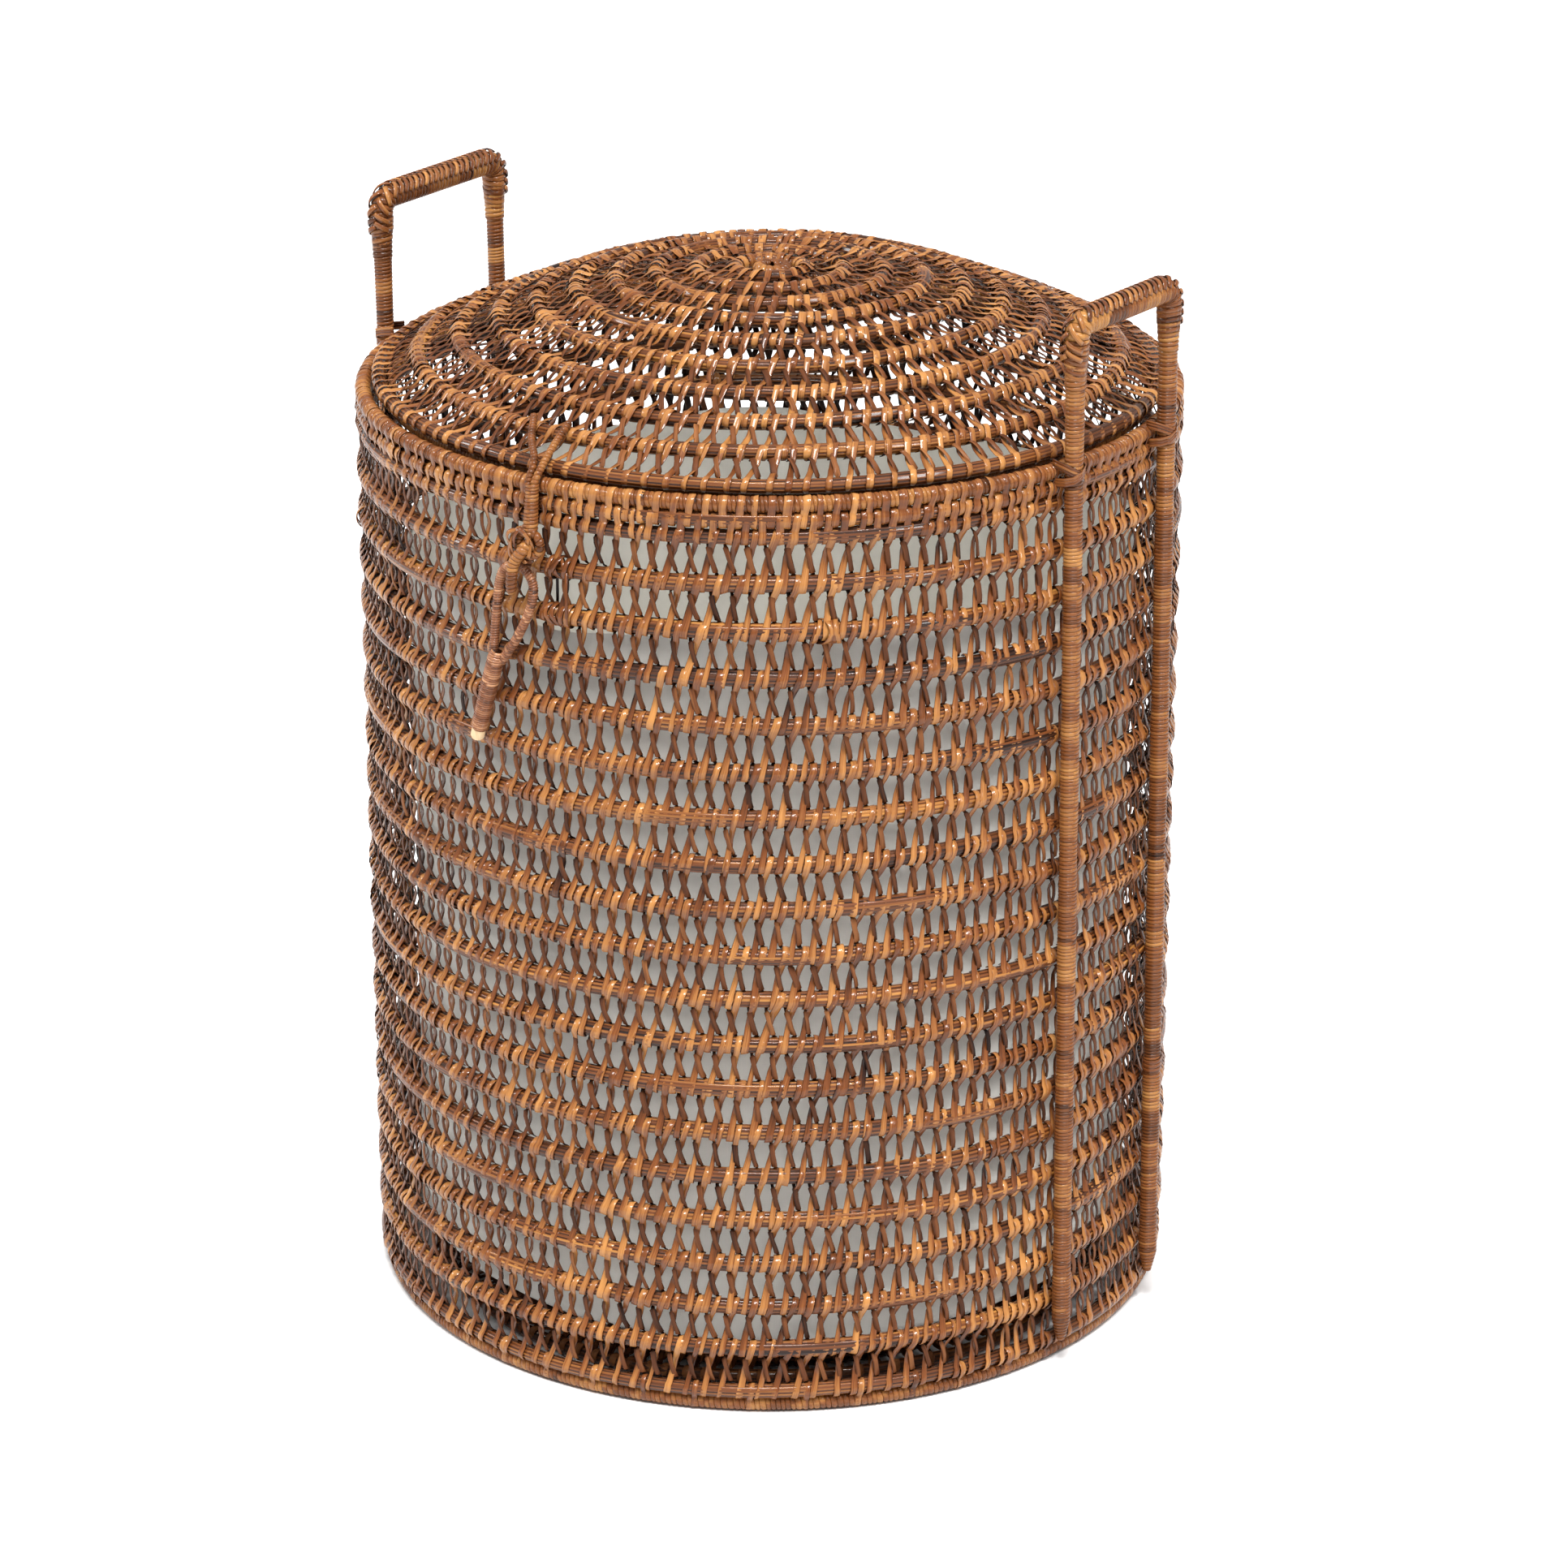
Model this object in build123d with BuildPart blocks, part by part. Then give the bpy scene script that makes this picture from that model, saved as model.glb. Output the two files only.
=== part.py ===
import math
import os

from build123d import *

# Round woven laundry basket with hinged lid, two tall side handles, strap closure and fabric liner.
# Millimetres, +Z up, origin at the middle of the footprint. Handles on +X and -X, closure at -Y, hinge at +Y.

BASKET_D = 450.0        # outer diameter over the rim coil
GRIP_Z = 593.0          # height of the middle of the grips
COIL_R = 220.4          # radius of every wall coil's centre line
COIL_CORE = 4.4         # radius of a wall coil
RIM_CORE = 3.9          # radius of the rim coil and of the two border coils under it
RIM_Z = 514.7           # height of the rim coil's centre
BORDER_PITCH = 8.6      # rim coil to border coil, border coil to border coil
BASE_COIL_Z = 12.7      # lowest wall coil, straight above the base ring
BASE_COIL_CORE = 4.0
BASE_RING_R = 218.4
BASE_RING_CORE = 4.2
BASE_RING_Z = 4.0       # lower than its radius, so that it has a flat foot
OPEN_ROWS = 18          # spaced wall coils between the border and the base
LACING_RIBS = 40
LACING_R0, LACING_R1 = 214.8, 215.9
LACING_W = 4.0
FLOOR_R, FLOOR_Z0, FLOOR_Z1 = 213.9, 0.0, 4.0

POST_R = 230.5          # radius at which the handle posts stand
POST_D = 10.0
POST_FOOT_Z = 8.0
POST_TOP_Z = 572.0
GRIP_D = 13.4
GRIP_BEND = 12.0
# bearings, measured from the front (-Y) towards +X, of each post at its top and at its foot
POSTS = {
    "right_front": (77.0, 78.3),
    "right_rear": (99.0, 101.4),
    "left_front": (-76.4, -78.0),
    "left_rear": (-102.3, -104.0),
}

LINER_R, LINER_T = 200.0, 1.5
LINER_Z0, LINER_Z1 = 27.0, 436.0

# lid coils from the edge inwards: radius and height of the centre line
LID_CORE = 3.9
LID_COILS = [
    (211.4, 521.6),
    (190.0, 532.0),
    (168.0, 541.6),
    (146.5, 550.4),
    (125.5, 558.8),
    (104.5, 565.8),
    (83.0, 570.6),
    (61.5, 573.6),
    (39.5, 575.2),
    (18.5, 575.9),
]
LID_PLUG_R, LID_PLUG_Z, LID_PLUG_CORE = 206.4, 513.9, 3.3
HINGE_X = 28.0
HINGE_Y = math.sqrt(COIL_R**2 - HINGE_X**2)
HINGE_Z = RIM_Z


def at(radius, bearing, height):
    """Point by radius, bearing in degrees from the front towards +X, and height."""
    a = math.radians(bearing)
    return Vector(radius * math.sin(a), -radius * math.cos(a), height)


def save(part, name):
    part.label = name
    export_step(part, "parts/" + name + ".step")


def coil(radius, height, core):
    """A closed coil of round section."""
    with BuildPart() as ring:
        with Locations((0, 0, height)):
            Torus(radius, core)
    return ring.part


def rod(points, radius):
    """A round rod along a smooth line through the points."""
    with BuildPart() as bar:
        with BuildLine():
            path = Spline(*points)
        with BuildSketch(Plane(origin=path @ 0, z_dir=path % 0)):
            Circle(radius)
        sweep(path=path)
    return bar.part


os.makedirs("parts", exist_ok=True)

# ---- wall: base ring, coils, border and rim ----
with BuildPart() as base_ring:
    with Locations((0, 0, BASE_RING_Z)):
        Torus(BASE_RING_R, BASE_RING_CORE)
    split(bisect_by=Plane.XY, keep=Keep.TOP)
save(base_ring.part, "base_ring")

save(coil(COIL_R, BASE_COIL_Z, BASE_COIL_CORE), "base_coil")

border_z = RIM_Z - 2 * BORDER_PITCH
row_pitch = (border_z - BASE_COIL_Z) / (OPEN_ROWS + 1)
for i in range(OPEN_ROWS):
    z = border_z - row_pitch * (i + 1)
    save(coil(COIL_R, z, COIL_CORE), f"wall_coil_{i + 1:02d}")

save(coil(COIL_R, border_z, RIM_CORE), "border_coil_lower")

with BuildPart() as border_coil_upper:
    with Locations((0, 0, RIM_Z - BORDER_PITCH)):
        Torus(COIL_R, RIM_CORE)
    # shallow seats under the hinge loops
    for x in (-HINGE_X, HINGE_X):
        with BuildSketch(Plane.YZ.offset(x - 2.6)):
            with Locations((HINGE_Y, HINGE_Z)):
                Circle(5.8)
        extrude(amount=5.2, mode=Mode.SUBTRACT)
save(border_coil_upper.part, "border_coil_upper")

save(coil(COIL_R, RIM_Z, RIM_CORE), "rim_coil")

# ---- lacing strips, lying against the inner side of the coils ----
with BuildPart() as wall_lacing:
    with BuildSketch(Plane.XY.offset(15.0)) as ribs:
        for i in range(LACING_RIBS):
            turn = 360.0 / LACING_RIBS * i
            middle = at((LACING_R0 + LACING_R1) / 2, turn, 0)
            with Locations(Location((middle.X, middle.Y, 0), (0, 0, turn))):
                Rectangle(LACING_W, LACING_R1 - LACING_R0 - 0.1)
    extrude(amount=RIM_Z - 4.0 - 15.0)
save(wall_lacing.part, "wall_lacing")

with BuildPart() as base_floor:
    with BuildSketch(Plane.XY.offset(FLOOR_Z0)):
        Circle(FLOOR_R)
    extrude(amount=FLOOR_Z1 - FLOOR_Z0)
save(base_floor.part, "base_floor")


# ---- handles ----
def post(bearing_top, bearing_foot):
    """A wrapped post with a tapered foot."""
    top = at(POST_R, bearing_top, POST_TOP_Z)
    foot = at(POST_R, bearing_foot, POST_FOOT_Z)
    up = (top - foot).normalized()
    with BuildPart() as stem:
        with BuildSketch(Plane(origin=foot + up * 14, z_dir=up)):
            Circle(POST_D / 2)
        extrude(amount=(top - foot).length - 14)
        with BuildSketch(Plane(origin=foot + up * 14, z_dir=up)):
            Circle(POST_D / 2)
        with BuildSketch(Plane(origin=foot, z_dir=up)):
            Circle(POST_D / 2 - 1.4)
        loft()
    return stem.part


def grip(bearing_a, bearing_b):
    """The bent grip joining two posts, thicker than they are."""
    a = at(POST_R, bearing_a, POST_TOP_Z + 0.4)
    b = at(POST_R, bearing_b, POST_TOP_Z + 0.4)
    along = (b - a).normalized()
    rise = GRIP_Z - POST_TOP_Z
    side = Plane(origin=a, x_dir=along, z_dir=along.cross(Vector(0, 0, 1)))
    with BuildPart() as bow:
        with BuildLine(side):
            path = FilletPolyline((0, 0), (0, rise), ((b - a).length, rise), ((b - a).length, 0), radius=GRIP_BEND)
        with BuildSketch(Plane(origin=a, z_dir=Vector(0, 0, 1))):
            Circle(GRIP_D / 2)
        sweep(path=path)
    return bow.part


for key, (bearing_top, bearing_foot) in POSTS.items():
    save(post(bearing_top, bearing_foot), "post_" + key)

# one binding of each post to the rim and border coils
with BuildPart() as rim_lashings:
    for bearing_top, bearing_foot in POSTS.values():
        share = (510.0 - POST_FOOT_Z) / (POST_TOP_Z - POST_FOOT_Z)
        c = at(POST_R, bearing_foot + (bearing_top - bearing_foot) * share, 504.0)
        with BuildSketch(Plane(origin=c, z_dir=(0, 0, 1))):
            Circle(POST_D / 2 + 0.65)
            Circle(POST_D / 2 + 0.15, mode=Mode.SUBTRACT)
        extrude(amount=12.0)
save(rim_lashings.part, "rim_lashings")
save(grip(POSTS["right_front"][0], POSTS["right_rear"][0]), "grip_right")
save(grip(POSTS["left_front"][0], POSTS["left_rear"][0]), "grip_left")

# ---- fabric liner ----
with BuildPart() as liner_side:
    with BuildSketch(Plane.XY.offset(LINER_Z0)):
        Circle(LINER_R)
        Circle(LINER_R - LINER_T, mode=Mode.SUBTRACT)
    extrude(amount=LINER_Z1 - LINER_Z0)
save(liner_side.part, "liner_side")

with BuildPart() as liner_bottom:
    with BuildSketch(Plane.XY.offset(LINER_Z0)):
        Circle(LINER_R - LINER_T)
    extrude(amount=LINER_T)
save(liner_bottom.part, "liner_bottom")

with BuildPart() as liner_hem:
    with BuildSketch(Plane.XY.offset(LINER_Z1 - 20.0)):
        Circle(LINER_R + 1.4)
        Circle(LINER_R + 0.05, mode=Mode.SUBTRACT)
    extrude(amount=20.0)
save(liner_hem.part, "liner_hem")

# ties from the hem to the second wall coil
with BuildPart() as liner_ties:
    for bearing in (42.5, 132.5, 222.5, 312.5):
        low = at(LINER_R + 2.2, bearing, LINER_Z1 - 10.0)
        high = at(COIL_R - COIL_CORE - 1.0, bearing, border_z - 2 * row_pitch)
        run = (high - low).normalized()
        with BuildSketch(Plane(origin=low, z_dir=run)):
            Circle(0.8)
        extrude(amount=(high - low).length)
save(liner_ties.part, "liner_ties")

# ---- closure knot round the first two wall coils, beside the strap ----
with BuildPart() as closure_knot:
    for i in (0, 1):
        z = border_z - row_pitch * (i + 1)
        c = at(COIL_R, 5.8, z)
        tangent = Vector(math.cos(math.radians(5.8)), math.sin(math.radians(5.8)), 0)
        with BuildSketch(Plane(origin=c - tangent * 5.5, z_dir=tangent)):
            Circle(COIL_CORE + 1.2)
            Circle(COIL_CORE + 0.2, mode=Mode.SUBTRACT)
        extrude(amount=11.0)
    a = at(COIL_R + COIL_CORE + 0.7, 5.8, border_z - row_pitch + 0.0)
    with BuildSketch(Plane(origin=a - Vector(0, 0, row_pitch), z_dir=(0, 0, 1))):
        Circle(1.6)
    extrude(amount=row_pitch)
    # keep the joining strand off the two coils
    for i in (0, 1):
        with BuildPart(mode=Mode.SUBTRACT):
            with Locations((0, 0, border_z - row_pitch * (i + 1))):
                Torus(COIL_R, COIL_CORE + 0.15)
save(closure_knot.part, "closure_knot")

# ---- lid ----
for i, (r, z) in enumerate(LID_COILS):
    save(coil(r, z, LID_CORE), f"lid_coil_{i + 1:02d}")
save(coil(LID_PLUG_R, LID_PLUG_Z, LID_PLUG_CORE), "lid_plug_ring")

with BuildPart() as lid_centre:
    with Locations((0, 0, LID_COILS[-1][1] + 0.6)):
        Sphere(12.6)
    with Locations((0, 0, LID_COILS[-1][1] + 0.6)):
        Box(60, 60, 6.4, mode=Mode.INTERSECT)
save(lid_centre.part, "lid_centre")

# spokes of lacing under the lid coils
under = LID_CORE + 0.75
with BuildPart() as lid_lacing:
    for i in range(24):
        a = math.radians(i * 15.0)
        out = Vector(math.sin(a), -math.cos(a), 0)
        side = Plane(origin=(0, 0, 0), x_dir=out, z_dir=out.cross(Vector(0, 0, 1)))
        line = [(r, z - under) for r, z in LID_COILS]
        back = [(r, z - under - 1.0) for r, z in reversed(LID_COILS)]
        with BuildSketch(side):
            with BuildLine():
                Polyline(*line, *back, close=True)
            make_face()
        extrude(amount=1.5, both=True)
save(lid_lacing.part, "lid_lacing")

# loops that hold the lid's edge coil and turn round the rim coil
lid_z = LID_COILS[0][1]
lid_y = math.sqrt(LID_COILS[0][0] ** 2 - HINGE_X**2)
for name, x in (("hinge_loop_left", -HINGE_X), ("hinge_loop_right", HINGE_X)):
    with BuildSketch(Plane.YZ.offset(x - 1.6)) as outline:
        with Locations((HINGE_Y, HINGE_Z), (lid_y, lid_z)):
            Circle(5.3)
        make_hull()
    with BuildSketch(Plane.YZ.offset(x - 1.6)) as hole:
        with Locations((HINGE_Y, HINGE_Z), (lid_y, lid_z)):
            Circle(4.5)
        make_hull()
    with BuildPart() as loop:
        extrude(outline.sketch, amount=3.2)
        extrude(hole.sketch, amount=3.2, mode=Mode.SUBTRACT)
    save(loop.part, name)

# ---- strap closure: two legs, a collar, an eye, a hook and the hanging peg ----
save(rod([at(190.0, -5.0, 538.7), at(206.0, -1.6, 532.2), at(219.0, 1.5, 525.8), at(228.9, 2.25, 517.2)], 1.5),
     "strap_leg_left")
save(rod([at(190.0, 1.9, 538.7), at(206.0, 2.6, 532.2), at(219.0, 3.1, 525.8), at(228.9, 3.15, 517.2)], 1.5),
     "strap_leg_right")

collar_face = Plane(origin=at(229.4, 2.7, 499.0), x_dir=(math.cos(math.radians(2.7)), math.sin(math.radians(2.7)), 0),
                    z_dir=(0, 0, 1))
with BuildPart() as strap_collar:
    with BuildSketch(collar_face):
        RectangleRounded(7.0, 4.4, 1.9)
    extrude(amount=16.4)
save(strap_collar.part, "strap_collar")

EYE_R, EYE_Z, EYE_BEARING = 231.0, 485.8, 2.7
eye_out = at(1.0, EYE_BEARING, 0)
with BuildPart() as strap_eye:
    with BuildSketch(Plane(origin=at(230.0, 2.7, 492.4), z_dir=at(229.5, 2.7, 499.0) - at(230.0, 2.7, 492.4))):
        Circle(1.9)
    extrude(amount=6.5)
    ring_plane = Plane(origin=at(EYE_R, EYE_BEARING, EYE_Z), z_dir=eye_out)
    with Locations(ring_plane.location):
        Torus(6.4, 2.2)
save(strap_eye.part, "strap_eye")

save(rod([at(226.8, 2.7, 485.8), at(231.0, 2.7, 485.8), at(235.6, 2.3, 482.6), at(236.6, 1.1, 475.0),
          at(236.2, 0.6, 459.5)], 3.2), "strap_hook")

BAR_R, BAR_Z = 229.4, 472.0
with BuildPart() as peg_hairpin:
    with BuildLine():
        bend = Spline(
            at(229.6, -4.1, 418.5),
            at(229.5, -3.05, 448.0),
            at(229.4, -2.5, 462.0),
            at(BAR_R, 0.15, BAR_Z),
            at(229.4, 2.85, 462.0),
            at(229.5, 2.3, 450.0),
            at(229.6, -2.5, 418.5),
        )
    with BuildSketch(Plane(origin=bend @ 0, z_dir=bend % 0)):
        Circle(2.5)
    sweep(path=bend)
    split(bisect_by=Plane(origin=(0, 0, 419.5), z_dir=(0, 0, 1)), keep=Keep.TOP)
save(peg_hairpin.part, "peg_hairpin")

peg_top = at(230.2, -3.3, 419.4)
peg_end = at(231.2, -6.8, 370.5)
peg_run = (peg_end - peg_top).normalized()
with BuildPart() as peg_shaft:
    with BuildSketch(Plane(origin=peg_top, z_dir=(0, 0, -1))):
        Ellipse(6.2, 3.6)
    with BuildSketch(Plane(origin=peg_top + peg_run * 12, z_dir=(0, 0, -1))):
        Ellipse(4.6, 4.4)
    with BuildSketch(Plane(origin=peg_end, z_dir=(0, 0, -1))):
        Ellipse(5.0, 4.8)
    loft(ruled=True)
save(peg_shaft.part, "peg_shaft")
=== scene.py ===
import math

import bpy
import numpy as np
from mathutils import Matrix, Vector


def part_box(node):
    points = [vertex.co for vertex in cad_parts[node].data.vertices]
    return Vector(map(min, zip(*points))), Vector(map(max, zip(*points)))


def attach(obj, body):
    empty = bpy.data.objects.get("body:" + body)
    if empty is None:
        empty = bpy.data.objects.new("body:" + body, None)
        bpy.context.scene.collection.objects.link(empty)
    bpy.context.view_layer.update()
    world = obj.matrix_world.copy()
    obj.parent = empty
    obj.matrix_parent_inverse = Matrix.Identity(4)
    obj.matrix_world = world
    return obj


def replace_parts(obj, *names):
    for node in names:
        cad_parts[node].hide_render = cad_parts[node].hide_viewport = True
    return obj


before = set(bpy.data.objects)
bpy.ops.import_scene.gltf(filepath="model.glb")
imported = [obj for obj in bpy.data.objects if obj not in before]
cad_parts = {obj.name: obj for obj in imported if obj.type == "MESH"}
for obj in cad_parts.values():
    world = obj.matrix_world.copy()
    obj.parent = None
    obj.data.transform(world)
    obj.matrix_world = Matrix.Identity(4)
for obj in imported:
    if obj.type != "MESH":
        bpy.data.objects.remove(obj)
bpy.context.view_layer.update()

# ------------------------------------------------------------------ sizes, in metres
STITCH = 0.00989        # distance between lacing crossings round the wall
SLASH_W = 0.0034        # width of the light strips that lean like a slash
BACK_W = 0.0029         # width of the dark strips that lean the other way
STRIP_T = 0.00058       # strip thickness
ROW_SHIFT = -0.08       # each row's crossings stand this part of a stitch further round
WRAP_W = 0.0021         # width of the strip wound round the posts
BORDER_STRIPS = 168     # strips over each border coil
BASE_STRIPS = 47        # strips that tie the lowest coil to the base ring
POST_CLEAR = {"front": 0.007, "rear": 0.011}   # the wrapped posts stop this far above their CAD feet


def ring_of(node):
    """Radius, height and thickness radius of a CAD coil."""
    lo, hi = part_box(node)
    r = (hi.z - lo.z) / 2
    return np.array([(hi.x - lo.x) / 2 - r, (hi.z + lo.z) / 2, r])


# ------------------------------------------------------------------ materials
def node(tree, kind, **values):
    n = tree.nodes.new(kind)
    for key, value in values.items():
        if key in n.inputs:
            n.inputs[key].default_value = value
        else:
            setattr(n, key, value)
    return n


def rattan(name, dark, mid, light, rough=0.36, coat=0.5, grain=0.36, bump=0.3):
    """Lacquered cane: tint picks the strip's colour, fibres run along the strip."""
    mat = bpy.data.materials.new(name)
    mat.use_nodes = True
    t = mat.node_tree
    link = t.links.new
    bsdf = t.nodes["Principled BSDF"]
    tint = node(t, "ShaderNodeAttribute", attribute_name="tint")
    run = node(t, "ShaderNodeAttribute", attribute_name="grain")
    fine = node(t, "ShaderNodeVectorMath", operation="MULTIPLY")
    fine.inputs[1].default_value = (55.0, 4.2, 7.0)
    link(run.outputs["Vector"], fine.inputs[0])
    fibre = node(t, "ShaderNodeTexNoise", Scale=1.0, Detail=3.0, Roughness=0.65)
    link(fine.outputs[0], fibre.inputs["Vector"])
    broad = node(t, "ShaderNodeVectorMath", operation="MULTIPLY")
    broad.inputs[1].default_value = (22.0, 0.6, 5.0)
    link(run.outputs["Vector"], broad.inputs[0])
    patch = node(t, "ShaderNodeTexNoise", Scale=1.0, Detail=2.0)
    link(broad.outputs[0], patch.inputs["Vector"])
    wobble = node(t, "ShaderNodeMath", operation="MULTIPLY_ADD")
    wobble.inputs[1].default_value = grain * 2
    wobble.inputs[2].default_value = -grain
    link(fibre.outputs["Fac"], wobble.inputs[0])
    blotch = node(t, "ShaderNodeMath", operation="MULTIPLY_ADD")
    blotch.inputs[1].default_value = grain * 2.4
    blotch.inputs[2].default_value = -grain * 1.2
    link(patch.outputs["Fac"], blotch.inputs[0])
    both = node(t, "ShaderNodeMath", operation="ADD")
    link(wobble.outputs[0], both.inputs[0])
    link(blotch.outputs[0], both.inputs[1])
    total = node(t, "ShaderNodeMath", operation="ADD", use_clamp=True)
    link(both.outputs[0], total.inputs[0])
    link(tint.outputs["Fac"], total.inputs[1])
    ramp = node(t, "ShaderNodeValToRGB")
    ramp.color_ramp.elements[0].color = (*dark, 1)
    ramp.color_ramp.elements[1].color = (*light, 1)
    middle = ramp.color_ramp.elements.new(0.5)
    middle.color = (*mid, 1)
    link(total.outputs[0], ramp.inputs["Fac"])
    link(ramp.outputs["Color"], bsdf.inputs["Base Color"])
    gloss = node(t, "ShaderNodeMapRange")
    gloss.inputs["To Min"].default_value = rough - 0.1
    gloss.inputs["To Max"].default_value = rough + 0.16
    link(fibre.outputs["Fac"], gloss.inputs["Value"])
    link(gloss.outputs["Result"], bsdf.inputs["Roughness"])
    relief = node(t, "ShaderNodeBump", Strength=bump, Distance=0.0004)
    link(fibre.outputs["Fac"], relief.inputs["Height"])
    link(relief.outputs["Normal"], bsdf.inputs["Normal"])
    bsdf.inputs["Coat Weight"].default_value = coat
    bsdf.inputs["Coat Roughness"].default_value = 0.10
    bsdf.inputs["Specular IOR Level"].default_value = 0.14
    return mat


def cloth(name, colour):
    """Plain woven cotton: fine crossed threads, soft fuzz, slight slubs."""
    mat = bpy.data.materials.new(name)
    mat.use_nodes = True
    t = mat.node_tree
    link = t.links.new
    bsdf = t.nodes["Principled BSDF"]
    run = node(t, "ShaderNodeAttribute", attribute_name="grain")
    waves = []
    for direction in ("X", "Y"):
        w = node(t, "ShaderNodeTexWave", bands_direction=direction, Scale=380.0, Distortion=1.2, Detail=1.0)
        link(run.outputs["Vector"], w.inputs["Vector"])
        waves.append(w)
    threads = node(t, "ShaderNodeMath", operation="MAXIMUM")
    link(waves[0].outputs["Fac"], threads.inputs[0])
    link(waves[1].outputs["Fac"], threads.inputs[1])
    slub = node(t, "ShaderNodeTexNoise", Scale=60.0, Detail=4.0, Roughness=0.6)
    link(run.outputs["Vector"], slub.inputs["Vector"])
    sum_ = node(t, "ShaderNodeMath", operation="MULTIPLY_ADD")
    sum_.inputs[1].default_value = 0.45
    link(threads.outputs[0], sum_.inputs[0])
    link(slub.outputs["Fac"], sum_.inputs[2])
    ramp = node(t, "ShaderNodeValToRGB")
    ramp.color_ramp.elements[0].position = 0.35
    ramp.color_ramp.elements[0].color = (*[c * 0.95 for c in colour], 1)
    ramp.color_ramp.elements[1].position = 1.0
    ramp.color_ramp.elements[1].color = (*colour, 1)
    link(sum_.outputs[0], ramp.inputs["Fac"])
    link(ramp.outputs["Color"], bsdf.inputs["Base Color"])
    relief = node(t, "ShaderNodeBump", Strength=0.35, Distance=0.0003)
    link(sum_.outputs[0], relief.inputs["Height"])
    link(relief.outputs["Normal"], bsdf.inputs["Normal"])
    bsdf.inputs["Roughness"].default_value = 0.88
    bsdf.inputs["Sheen Weight"].default_value = 0.4
    return mat


DARK, MID, LIGHT = (0.014, 0.0035, 0.0015), (0.165, 0.048, 0.0115), (0.44, 0.195, 0.055)
M_LACE = rattan("lacquered_lacing", DARK, MID, LIGHT)
M_BACK = rattan("matte_lacing", (0.010, 0.003, 0.0015), (0.120, 0.037, 0.0115), (0.30, 0.118, 0.038),
                rough=0.5, coat=0.06)
M_CORE = rattan("coil_cores", (0.008, 0.0025, 0.0012), (0.150, 0.044, 0.0105), (0.44, 0.190, 0.042),
                rough=0.36, coat=0.45, grain=0.30, bump=0.5)
M_WRAP = rattan("wound_strip", (0.022, 0.0065, 0.0025), (0.190, 0.060, 0.0150), (0.44, 0.205, 0.058),
                rough=0.36, coat=0.35, grain=0.2)
M_PEG = rattan("peg_strip", (0.030, 0.010, 0.005), (0.225, 0.080, 0.034), (0.50, 0.245, 0.120),
               rough=0.32, coat=0.5, grain=0.16)
M_RAW = rattan("raw_cane_end", (0.55, 0.36, 0.18), (0.78, 0.58, 0.35), (0.88, 0.72, 0.50),
               rough=0.7, coat=0.0)
M_CLOTH = cloth("liner_cotton", (0.95, 0.93, 0.86))

rng = np.random.default_rng(7)


# ------------------------------------------------------------------ mesh building
def make(name, verts, quads, body, material, tint, grain, slot=None, smooth=True):
    """A mesh object from arrays, with its tint and grain attributes, riding on a body."""
    verts = np.asarray(verts, np.float32).reshape(-1, 3)
    quads = np.asarray(quads, np.int32).reshape(-1, 4)
    mesh = bpy.data.meshes.new(name)
    mesh.vertices.add(len(verts))
    mesh.vertices.foreach_set("co", verts.ravel())
    mesh.loops.add(quads.size)
    mesh.loops.foreach_set("vertex_index", quads.ravel())
    mesh.polygons.add(len(quads))
    mesh.polygons.foreach_set("loop_start", np.arange(0, quads.size, 4, dtype=np.int32))
    mesh.update(calc_edges=True)
    a = mesh.attributes.new("tint", "FLOAT", "POINT")
    a.data.foreach_set("value", np.broadcast_to(tint, len(verts)).astype(np.float32))
    g = mesh.attributes.new("grain", "FLOAT_VECTOR", "POINT")
    g.data.foreach_set("vector", np.asarray(grain, np.float32).reshape(-1, 3).ravel())
    mesh.materials.append(material)
    if smooth:
        mesh.shade_smooth()
    obj = bpy.data.objects.new(name, mesh)
    bpy.context.collection.objects.link(obj)
    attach(obj, body)
    return obj


def unit(v):
    return v / np.maximum(np.linalg.norm(v, axis=-1, keepdims=True), 1e-12)


SECTION = np.array([(-1, 0), (-0.84, 0.8), (0, 1.05), (0.84, 0.8), (1, 0), (0.7, -0.8), (-0.7, -0.8)])
# painted shade: strips are darker along their edges and underneath, where the gaps beside and below them lie in
# shadow
PAINTED_EDGE_SHADE = np.array([-0.42, -0.02, 0.05, -0.02, -0.42, -0.45, -0.45])


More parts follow.
